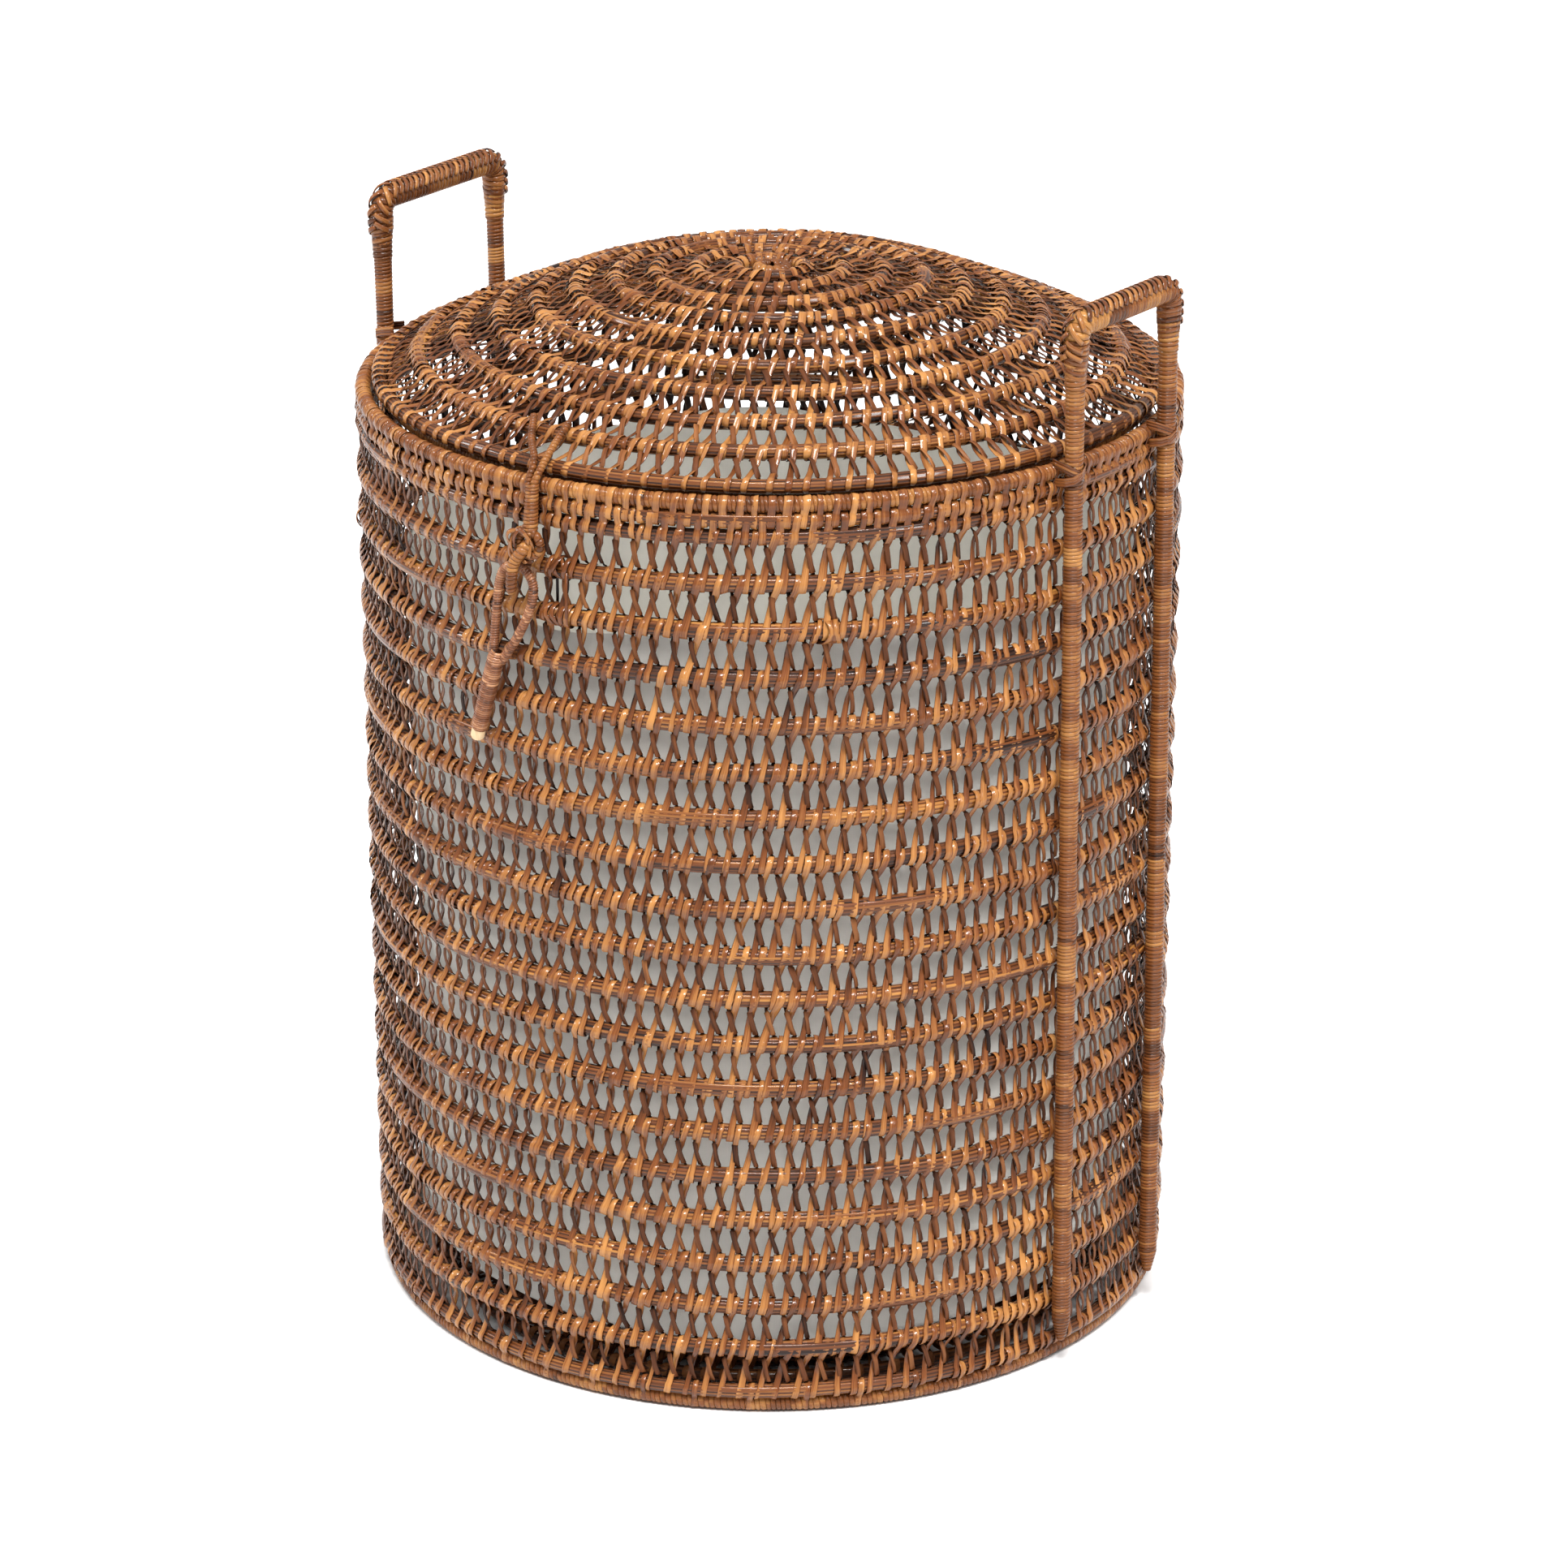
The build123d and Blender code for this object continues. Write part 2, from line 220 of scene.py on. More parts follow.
def ribbons(centre, hint, half_w, half_t, tints):
    """Flat strips with rounded edges: centre and hint are (strips, stations, 3).

    Returns vertices, quads, tint and grain, as the other builders do.
    """
    strips, stations = centre.shape[:2]
    run = np.gradient(centre, axis=1)
    side = unit(np.cross(run, hint))
    up = unit(np.cross(side, run))
    half_w = np.broadcast_to(half_w, (strips, stations))[..., None, None]
    half_t = np.broadcast_to(half_t, (strips, stations))[..., None, None]
    m = len(SECTION)
    v = (centre[:, :, None] + SECTION[:, 0, None] * half_w * side[:, :, None]
         + SECTION[:, 1, None] * half_t * up[:, :, None])
    idx = np.arange(strips * stations * m).reshape(strips, stations, m)
    nxt = np.roll(idx, -1, axis=2)
    sides = np.stack([idx[:, :-1], idx[:, 1:], nxt[:, 1:], nxt[:, :-1]], -1).reshape(-1, 4)
    first, last = idx[:, 0], idx[:, -1]
    caps = [first[:, [0, 1, 2, 3]], first[:, [0, 3, 4, 5]], first[:, [0, 5, 6, 6]]]
    caps += [last[:, [3, 2, 1, 0]], last[:, [5, 4, 3, 0]], last[:, [6, 5, 0, 0]]]
    caps = [c for c in caps if len(set(c[0])) == 4]
    quads = np.concatenate([sides, *caps])
    step = np.linalg.norm(np.diff(centre, axis=1, prepend=centre[:, :1]), axis=-1).cumsum(1)
    grain = np.zeros(v.shape)
    grain[..., 0] = step[..., None]
    grain[..., 1] = SECTION[:, 0]
    grain[..., 2] = (np.arange(strips) * 0.37 + rng.random() * 9)[:, None, None]
    tints = np.asarray(tints)
    # painted shade: each strip's tint is darkened along its edges and underside
    tint = (tints[:, None] if tints.ndim == 1 else tints)[..., None] + PAINTED_EDGE_SHADE + np.zeros(v.shape[:3])
    return v.reshape(-1, 3), quads, tint.ravel(), grain.reshape(-1, 3)


def join(*parts):
    """Joins the arrays that ribbons and the other builders return."""
    shift, verts, quads, tint, grain = 0, [], [], [], []
    for v, q, t, g in parts:
        verts.append(v)
        quads.append(q + shift)
        tint.append(t)
        grain.append(g)
        shift += len(v)
    return np.concatenate(verts), np.concatenate(quads), np.concatenate(tint), np.concatenate(grain)


def polar(radius, bearing, height):
    """Points at a radius, a bearing from the front towards +X, and a height."""
    x, y = radius * np.sin(bearing), -radius * np.cos(bearing)
    return np.stack([x, y, np.broadcast_to(height, np.shape(radius))], -1)


# ------------------------------------------------------------------ coils and lacing
def core(ring, lobes=12, steps=176, fine=3, tone0=0.42):
    """A coil: a bundle of thin strands that lie side by side, uneven, with dark lines of painted shade in the
    grooves between them.
    """
    radius, height, r = ring
    round_ = lobes * fine
    a = np.linspace(0, 2 * np.pi, steps, endpoint=False)[:, None]
    j = np.arange(round_)[None]
    p = 2 * np.pi * (j + 0.3 * np.sin(2 * a + rng.random() * 6)) / round_
    ph = rng.random(6) * 6.28
    groove = (j % fine == 0) * (0.75 + 0.25 * np.sin(3 * a + j))
    swell = 0.02 * np.sin(7 * a + ph[0]) + 0.018 * np.sin(17 * a + ph[1])
    rho = r * (1.0 - 0.12 * groove + swell - 0.01)
    wander = 0.0005 * np.sin(5 * a + ph[3]) + 0.0003 * np.sin(13 * a + ph[4])
    rise = 0.0006 * np.sin(4 * a + ph[5])
    v = polar(radius + wander + rho * np.cos(p), a + 0 * p, height + rise + rho * np.sin(p))
    idx = np.arange(steps * round_).reshape(steps, round_)
    ahead = np.roll(idx, -1, 0)
    q = np.stack([idx, np.roll(idx, -1, 1), np.roll(ahead, -1, 1), ahead], -1).reshape(-1, 4)
    strand = np.repeat(rng.normal(0, 0.15, lobes), fine)[None]
    patch = np.clip(np.sin(a * 2 + ph[0]) * np.sin(a * 5 + ph[4]) + 0.3 * np.sin(11 * a + ph[2]), -0.6, 1)
    # painted shade: the tone is darkened in the grooves between strands
    tone = tone0 + 0.20 * patch + strand - 0.58 * groove
    grain = np.stack([(a * radius * 0.3) + 0 * p, p * 5.0 + 0 * a, np.full_like(a + p, rng.random() * 9)], -1)
    return v.reshape(-1, 3), q, np.clip(tone, 0, 1).ravel(), grain.reshape(-1, 3)


def lacing(upper, lower, shift, back=True, spread=1.0, count=None, tone=0.0):
    """The ring of crossed strips between two coils. Each coil is (radius, height, thickness radius)."""
    a, b = upper, lower
    down = unit(np.array([b[0] - a[0], b[1] - a[1]]))
    out = np.array([-down[1], down[0]])
    gap = math.hypot(b[0] - a[0], b[1] - a[1])
    middle = (a[0] + b[0]) / 2
    count = count or max(12, round(2 * math.pi * middle / STITCH))
    stitch = 2 * math.pi / count
    k = np.arange(count)[:, None]
    free = gap - a[2] - b[2]
    cross = a[2] + 0.42 * free

    def around(angles, coil, at, lift):
        """Points and outward hints on a coil: 90 is its upper side, 0 its front."""
        g = np.radians(angles)
        rho = coil[2] + lift
        return [(at + rho * -s, rho * c, c, -s) for c, s in zip(np.cos(g), np.sin(g))]

    lift = STRIP_T * 0.5
    over = around(np.array([140, 108, 80, 52, 24, -4, -32]), a, 0, lift)
    if free > 0.006:
        over += [(a[2] + 0.12 * free, 0.0014, 1, 0), (a[2] + 0.27 * free, 0.0002, 1, 0), (cross, -0.0003, 1, 0)]
        over += [(a[2] + 0.66 * free, 0.0006, 1, 0)]
    over += around(np.array([50, 26, 2, -24, -50, -80, -112]), b, gap, lift)
    behind = around(np.array([-150, -115]), a, 0, lift)
    behind += [(a[2] + 0.10 * free, 0.0016, 1, 0), (cross - 0.16 * free, 0.0024, 1, 0), (cross, 0.0025, 1, 0)]
    behind += [(cross + 0.2 * free, 0.0021, 1, 0), (a[2] + 0.88 * free, 0.0006, 1, 0)]
    behind += around(np.array([112, 145]), b, gap, lift)
    parts = []
    for kind, stations in (("slash", over), ("back", behind)):
        if kind == "back" and not back:
            continue
        st = np.array(stations)
        t = st[:, 0]
        if kind == "slash":
            x = -0.28 * (np.clip(t, -a[2], cross) + a[2]) - 0.20 * np.clip(t - cross, 0, gap)
        else:
            x = -0.0022 - 0.28 * 2 * a[2] - 0.048 * free + 0.21 * (t - a[2])
        n, m = count, len(t)
        x = x * (1 if free > 0.006 else 0.45)
        sway = rng.normal(0, 0.0005, (n, 1)) + rng.normal(0, 0.05, (n, 1)) * (t - gap / 2)[None]
        turn = (k + shift) * stitch + (x[None] + sway + rng.normal(0, 0.0001, (n, m))) / middle
        depth = st[None, :, 1] + rng.normal(0, 0.00008, (n, 1))
        radius = a[0] + depth * out[0] + t[None] * down[0]
        height = a[1] + depth * out[1] + t[None] * down[1]
        centre = polar(radius, turn, height)
        hr = st[None, :, 2] * out[0] + st[None, :, 3] * down[0] + 0 * turn
        hz = st[None, :, 2] * out[1] + st[None, :, 3] * down[1] + 0 * turn
        hint = polar(hr, turn, 0 * turn)
        hint[..., 2] = hz
        hint += rng.normal(0, 0.14, (n, 1, 1)) * polar(np.ones_like(turn), turn + np.pi / 2, 0)
        w = (SLASH_W if kind == "slash" else BACK_W) / 2 * rng.normal(1.0, 0.11, (n, 1)) * spread
        ends = np.interp(t, [-a[2], a[2], cross, gap - b[2], gap + b[2]], [1.12, 1.08, 0.90, 1.08, 1.12])
        ends[[0, -1]] = 0.7
        tints = rng.normal(0.56, 0.12, n) if kind == "slash" else rng.normal(0.42, 0.11, n)
        # painted light and shade: slash strips are lighter where they cross the coils and darker in the gap
        # between coils, where shade falls
        painted_light_and_shade = 0 * t
        if kind == "slash":
            painted_light_and_shade = np.interp(t, [-a[2], a[2], cross, gap - b[2], gap], [0.10, 0.0, -0.14, 0.02, 0.10])
        ph = rng.random(3) * 6.28
        at_k = k * stitch
        zone = 0.13 * np.sin(2 * at_k + ph[0]) * np.sin(5 * at_k + ph[1]) + 0.05 * np.sin(13 * at_k + ph[2])
        tints = tints[:, None] + zone + tone + painted_light_and_shade[None]
        parts.append((kind, ribbons(centre, hint, w * ends[None], STRIP_T / 2, np.clip(tints, 0.02, 1))))
    return parts


def wound(points, normals, radius, pitch, tints=None, thick=0.0008, uneven=0.09, turn0=0.0, sides=14):
    """A strip wound tightly round a path. points and normals are dense arrays; radius may vary along it."""
    points = np.asarray(points, float)
    seg = np.linalg.norm(np.diff(points, axis=0), axis=1)
    arc = np.concatenate([[0], np.cumsum(seg)])
    length = arc[-1]
    turns = max(3, round(length / pitch))
    edges = np.concatenate([[0], np.cumsum(rng.uniform(0.8, 1.2, turns))])
    edges *= length / edges[-1]
    x = np.arange(-sides, turns * sides + 1) / sides
    low = np.interp(x, np.arange(turns + 1), edges)
    high = np.interp(x + 1, np.arange(turns + 1), edges)
    f = np.array([0.0, 0.10, 0.5, 0.90, 1.0])
    lift = np.array([-0.35, 0.55, 1.0, 0.55, -0.35]) * thick
    u = low[:, None] + (high - low)[:, None] * f
    tangent = np.gradient(points, axis=0)
    tangent = unit(tangent)
    n_all = unit(normals - (normals * tangent).sum(-1, keepdims=True) * tangent)
    b_all = np.cross(tangent, n_all)
    take = lambda arr: np.stack([np.interp(u, arc, arr[:, i]) for i in range(3)], -1)
    p, n, b = take(points), unit(take(n_all)), unit(take(b_all))
    phi = (2 * np.pi * (x + turn0))[:, None]
    rad = np.interp(u, arc, np.broadcast_to(radius, arc.shape))
    v = p + (rad + lift)[..., None] * (np.cos(phi)[..., None] * n + np.sin(phi)[..., None] * b)
    rows, cols = u.shape
    idx = np.arange(rows * cols).reshape(rows, cols)
    q = np.stack([idx[:-1, :-1], idx[:-1, 1:], idx[1:, 1:], idx[1:, :-1]], -1).reshape(-1, 4)
    if tints is None:
        bands = np.repeat(rng.normal(0.5, 0.12, turns // 5 + 2), 5)[: turns + 2]
        tints = bands + rng.normal(0, uneven, turns + 2)
    turn_no = np.clip(np.floor(x).astype(int) + 1, 0, len(tints) - 1)
    tint = np.broadcast_to(np.asarray(tints)[turn_no][:, None], (rows, cols))
    grain = np.stack([(x * 2 * np.pi * np.mean(radius))[:, None] + 0 * u, (f * 2 - 1)[None] + 0 * u,
                      np.floor(x)[:, None] * 0.61 + 0 * u], -1)
    return v.reshape(-1, 3), q, np.clip(tint, 0.02, 1).ravel(), grain.reshape(-1, 3)


def wound_ring(ring, pitch, **more):
    radius, height, r = ring
    a = np.linspace(0, 2 * np.pi, 361)
    pts = polar(np.full_like(a, radius), a, height)
    return wound(pts, polar(np.ones_like(a), a, 0), r, pitch, **more)


def smooth_path(points, n=60):
    """A smooth line through the points (Catmull-Rom), as n points."""
    p = np.asarray(points, float)
    p = np.concatenate([[2 * p[0] - p[1]], p, [2 * p[-1] - p[-2]]])
    t = np.linspace(0, len(p) - 3 - 1e-9, n)
    i = t.astype(int)
    f = (t - i)[:, None]
    p0, p1, p2, p3 = p[i], p[i + 1], p[i + 2], p[i + 3]
    square, cube = 2 * p0 - 5 * p1 + 4 * p2 - p3, 3 * p1 - p0 - 3 * p2 + p3
    return 0.5 * (2 * p1 + (p2 - p0) * f + square * f**2 + cube * f**3)


def deg(radius_mm, bearing, height_mm):
    """A point from radius and height in millimetres and a bearing in degrees from the front towards +X."""
    return polar(np.array(radius_mm / 1000.0), math.radians(bearing), height_mm / 1000.0)


# ------------------------------------------------------------------ wall
border = [ring_of("rim_coil"), ring_of("border_coil_upper"), ring_of("border_coil_lower")]
wall = [ring_of(f"wall_coil_{i:02d}") for i in range(1, 19)]
base = ring_of("base_coil")

parts = wound_ring(border[0] * [1, 1, 0.95], 0.0024, thick=0.0006)
rim = make("rim_coil_wound", *parts[:2], "basket", M_WRAP, *parts[2:], slot="rattan_wrap")
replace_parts(rim, "rim_coil")
for k, name in ((1, "border_coil_upper"), (2, "border_coil_lower")):
    parts = core(border[k] * [1, 1, 1.02])
    obj = make(name + "_strands", *parts[:2], "basket", M_CORE, *parts[2:], slot="rattan_coil")
    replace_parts(obj, name)
for i, ring in enumerate(wall):
    parts = core(ring)
    obj = make(f"wall_coil_strands_{i + 1:02d}", *parts[:2], "basket", M_CORE, *parts[2:], slot="rattan_coil")
    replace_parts(obj, f"wall_coil_{i + 1:02d}")
parts = core(base)
obj = make("base_coil_strands", *parts[:2], "basket", M_CORE, *parts[2:], slot="rattan_coil")
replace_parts(obj, "base_coil")

lo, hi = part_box("base_ring")
foot_r = hi.z / 2
foot = np.array([hi.x - foot_r, foot_r + 0.0008, foot_r * 0.93])
parts = wound_ring(foot, 0.0030, thick=0.0006)
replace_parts(make("base_ring_wound", *parts[:2], "basket", M_WRAP, *parts[2:], slot="rattan_wrap"), "base_ring")

chain = border[2:] + wall + [base]
for i in range(len(chain) - 1):
    strips = lacing(chain[i], chain[i + 1], ROW_SHIFT * i + 0.15 * rng.standard_normal())
    v = join(*[p for kind, p in strips if kind == "slash"])
    obj = make(f"wall_lacing_gloss_{i + 1:02d}", *v[:2], "basket", M_LACE, *v[2:], slot="rattan_lacing")
    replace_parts(obj, "wall_lacing")
    v = join(*[p for kind, p in strips if kind == "back"])
    make(f"wall_lacing_matte_{i + 1:02d}", *v[:2], "basket", M_BACK, *v[2:], slot="rattan_lacing")

for i, (a, b, s) in enumerate(((border[0], border[1], 0.35), (border[1], border[2], 0.85), (base, foot, 0.2))):
    strips = lacing(a, b, s, back=False, count=BORDER_STRIPS if i < 2 else BASE_STRIPS,
                    spread=1.12 if i < 2 else 1.0)
    v = strips[0][1]
    make(f"border_lacing_{i + 1}", *v[:2], "basket", M_LACE, *v[2:], slot="rattan_lacing")

# ------------------------------------------------------------------ woven bottom
lo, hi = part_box("base_floor")
floor_r = np.arange(0.020, hi.x - 0.006, 0.0213)
bottom = [np.array([r, 0.0047, 0.0036]) for r in floor_r]
v = join(*[core(r, 8, max(24, int(r[0] * 700))) for r in bottom])
disc = make("bottom_coils", *v[:2], "basket", M_CORE, *v[2:], slot="rattan_coil")
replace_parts(disc, "base_floor")
pairs = zip(bottom[:-1], bottom[1:])
v = join(*[p for i, (a, b) in enumerate(pairs) for _, p in lacing(a, b, 0.3 * i, spread=1.15)])
make("bottom_lacing", *v[:2], "basket", M_BACK, *v[2:], slot="rattan_lacing")

# ------------------------------------------------------------------ lid
lid = [ring_of(f"lid_coil_{i:02d}") for i in range(1, 11)]
for i, ring in enumerate(lid):
    # painted light: lid coils get a lighter tone than the wall's because the lid faces the overhead light
    parts = core(ring, steps=max(40, int(ring[0] * 830)), tone0=0.50)
    obj = make(f"lid_coil_strands_{i + 1:02d}", *parts[:2], "lid", M_CORE, *parts[2:], slot="rattan_coil")
    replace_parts(obj, f"lid_coil_{i + 1:02d}")
inner = lid[::-1]
for i in range(len(inner) - 1):
    number = len(inner) - 1 - i
    # painted light: lid lacing tint is raised by 0.09 for the light falling on the lid's top
    strips = lacing(inner[i], inner[i + 1], ROW_SHIFT * i + 0.2 * rng.standard_normal(), tone=0.09)
    v = join(*[p for kind, p in strips if kind == "slash"])
    obj = make(f"lid_lacing_gloss_{number:02d}", *v[:2], "lid", M_LACE, *v[2:], slot="rattan_lacing")
    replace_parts(obj, "lid_lacing")
    v = join(*[p for kind, p in strips if kind == "back"])
    make(f"lid_lacing_matte_{number:02d}", *v[:2], "lid", M_BACK, *v[2:], slot="rattan_lacing")

lo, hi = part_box("lid_centre")
spiral_z = (lo.z + hi.z) / 2
turns_ = np.linspace(0.25, 1.62, 110)
pts = polar(hi.x * 0.52 * turns_, turns_ * 2 * np.pi, spiral_z + 0.0014 - 0.0016 * turns_)
parts = wound(pts, np.tile([0, 0, 1.0], (len(pts), 1)), 0.0031, 0.0034, sides=10)
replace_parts(make("lid_centre_spiral", *parts[:2], "lid", M_WRAP, *parts[2:], slot="rattan_wrap"), "lid_centre")
parts = wound_ring(ring_of("lid_plug_ring") * [1, 1, 0.94], 0.0028, thick=0.0006)
obj = make("lid_plug_ring_wound", *parts[:2], "lid", M_WRAP, *parts[2:], slot="rattan_wrap")
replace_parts(obj, "lid_plug_ring")

# ------------------------------------------------------------------ handles
for key in ("right_front", "right_rear", "left_front", "left_rear"):
    name = "post_" + key
    co = np.array([v.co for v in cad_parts[name].data.vertices])
    top = co[co[:, 2] > co[:, 2].max() - 0.004].mean(0)
    foot_p = co[co[:, 2] < co[:, 2].min() + 0.004].mean(0)
    foot_p = foot_p + unit(top - foot_p) * POST_CLEAR[key.split("_")[1]]
    line = np.linspace(foot_p, top, 90)
    h = np.linalg.norm(line - foot_p, axis=1)
    r = 0.0046 - 0.0030 * np.clip(1 - h / 0.012, 0, 1) + 0.00015 * np.sin(h * 61 + co[0, 1] * 900)
    out = np.tile([co[:, 0].mean(), co[:, 1].mean(), 0], (90, 1))
    parts = wound(line, unit(out), r, WRAP_W, thick=0.0005)
    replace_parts(make(name + "_wound", *parts[:2], "basket", M_WRAP, *parts[2:], slot="rattan_wrap"), name)


def frames(path, up):
    """Tangent, side and up vectors along a dense path, with up as the hint."""
    t = unit(np.gradient(path, axis=0))
    n = unit(up - (up * t).sum(-1, keepdims=True) * t)
    return t, np.cross(t, n), n


def over_path(path, up, along, angle, lift):
    """Points on a round bar: along is metres along it, angle is round it from up, lift its radius there."""
    t, side, n = frames(path, up)
    arc = np.concatenate([[0], np.cumsum(np.linalg.norm(np.diff(path, axis=0), axis=1))])
    at = lambda arr: np.stack([np.interp(along, arc, arr[:, i]) for i in range(3)], -1)
    ring = np.cos(angle)[..., None] * at(n) + np.sin(angle)[..., None] * at(side)
    return at(path) + np.asarray(lift)[..., None] * ring, ring


def loops(bearing, ca, cb, count, width, gap=0.0004, tone=0.55, spread=0.0):
    """Turns of strip round two parallel coils, each (radius, height, thickness radius), at a bearing."""
    d = np.array([cb[0] - ca[0], cb[1] - ca[1]])
    along = math.atan2(d[1], d[0])
    half = np.pi / 2
    g = np.concatenate([np.linspace(half, 3 * half, 9), np.linspace(-half, half, 9)]) + along
    first = np.arange(18) < 9
    r = np.where(first, ca[0] + (ca[2] + gap) * np.cos(g), cb[0] + (cb[2] + gap) * np.cos(g))
    z = np.where(first, ca[1] + (ca[2] + gap) * np.sin(g), cb[1] + (cb[2] + gap) * np.sin(g))
    r, z, g = (np.append(arr, arr[0]) for arr in (r, z, g))
    k = (np.arange(count) - (count - 1) / 2)[:, None]
    f = np.linspace(0, 1, len(r))[None]
    tilt = rng.normal(0, spread, (count, 1)) * np.sin(2 * np.pi * f + rng.uniform(0, 6, (count, 1)))
    turn = bearing + ((k + 0.9 * (f - 0.5)) * width * 1.04 + tilt) / ca[0]
    bump_ = rng.uniform(0, 1, (count, 1)) * spread * 0.35
    centre = polar(r[None] + bump_ * np.cos(g), turn, z[None] + bump_ * np.sin(g))
    hint = polar(np.cos(g)[None] + 0 * turn, turn, 0)
    hint[..., 2] = np.sin(g)
    return ribbons(centre, hint, width / 2, 0.00035, rng.normal(tone, 0.1, count))


def bar(name, path, radius, body, pitch=0.0031, up=(0, 0, 1), cad=(), material=M_WRAP, uneven=0.09, **more):
    """A strip wound round a path, as one named piece."""
    path = np.asarray(path)
    up = np.broadcast_to(np.asarray(up, float), path.shape)
    v, q, t, g = wound(path, up, radius, pitch, uneven=uneven, **more)
    obj = make(name, v, q, body, material, t, g, slot="rattan_wrap")
    if cad:
        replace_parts(obj, *cad)
    return obj


def post_ends(key):
    co = np.array([v.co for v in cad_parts["post_" + key].data.vertices])
    return co[co[:, 2] > co[:, 2].max() - 0.004].mean(0)


RIM = border[0]
for side_, sign in (("right", 1), ("left", -1)):
    lo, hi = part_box("grip_" + side_)
    thick = 0.0134
    z_top = hi.z - thick / 2
    a_, b_ = post_ends(side_ + "_front"), post_ends(side_ + "_rear")
    corner = 0.008
    ea, eb = np.array([a_[0], a_[1], z_top]), np.array([b_[0], b_[1], z_top])
    run = unit(eb - ea)
    arc_ = np.linspace(0, np.pi / 2, 14)[:, None]
    rise = np.array([0, 0, 1.0])
    bend_a = ea + corner * (run - rise) + corner * (-run * np.cos(arc_) + rise * np.sin(arc_))
    bend_b = eb - corner * (run + rise) + corner * (run * np.sin(arc_) + rise * np.cos(arc_))
    path = np.concatenate([np.linspace(a_ - rise * 0.012, bend_a[0], 10)[:-1], bend_a,
                           np.linspace(bend_a[-1], bend_b[0], 60)[1:-1], bend_b,
                           np.linspace(bend_b[-1], b_ - rise * 0.012, 10)[1:]])
    seg = np.concatenate([[0], np.cumsum(np.linalg.norm(np.diff(path, axis=0), axis=1))])
    total = seg[-1]
    edge = np.minimum(seg, total - seg)
    radius = np.interp(edge, [0, 0.010, 0.018, 0.030], [0.0049, 0.0051, 0.0060, 0.0060])
    outward = np.array([sign * 1.0, 0, 0.0]) * 0.35
    up_ = np.tile(rise, (len(path), 1)) * 0.9 + outward
    up_[edge < 0.024] = unit(-run * np.where(seg[edge < 0.024] < total / 2, 1, -1)[:, None] + rise * 0.6)
    bar(f"grip_{side_}_wound", path, radius, "basket", pitch=0.0027, up=outward * 3 + rise * 0.02,
        cad=[f"grip_{side_}"])
    # plaited ridge along the top: two rows of short slanted strips that meet in the middle
    ridge = np.arange(0.016, total - 0.016, 0.0046)
    legs = []
    for way in (-1, 1):
        f = np.linspace(0, 1, 7)[None]
        along = ridge[:, None] + (0.0052 * f - 0.0022) + (0.0023 if way > 0 else 0)
        angle = way * (1.20 - 1.22 * f) - 0.15 * sign + 0 * along
        lift = np.interp(along, seg, radius) + 0.0007 + 0.0013 * np.sin(f * np.pi * 0.85)
        turn_out = np.interp(seg, [0, 0.02, 0.035, total - 0.035, total - 0.02, total],
                             [1, 0.6, 0, 0, -0.6, -1])
        ridge_up = np.tile(rise, (len(path), 1)) + unit(-run) * turn_out[:, None]
        c, h = over_path(path, ridge_up, along, angle, lift)
        legs.append(ribbons(c, h, 0.0014, 0.0005, rng.normal(0.56, 0.14, len(ridge))))
    v = join(*legs)
    make(f"grip_{side_}_plait", *v[:2], "basket", M_LACE, *v[2:], slot="rattan_wrap")
    # slanted wraps round both corners
    turns = []
    for start in (0.006, total - 0.026):
        k = np.arange(7)[:, None]
        f = np.linspace(0, 1, 26)[None]
        along = start + k * 0.0027 + 0.0030 * (0.5 - 0.5 * np.cos(f * 2 * np.pi))
        along = along + rng.normal(0, 0.0002, (7, 1))
        angle = 2 * np.pi * f + rng.uniform(0, 0.2, (7, 1))
        lift = np.interp(along, seg, radius) + 0.0003 + 0.0002 * (k % 2)
        c, h = over_path(path, np.broadcast_to(np.array([sign, 0, 0.01]), path.shape), along, angle, lift)
        turns.append(ribbons(c, h, 0.0012, 0.0003, rng.normal(0.52, 0.12, 7)))
    v = join(*turns)
    make(f"grip_{side_}_corners", *v[:2], "basket", M_LACE, *v[2:], slot="rattan_wrap")

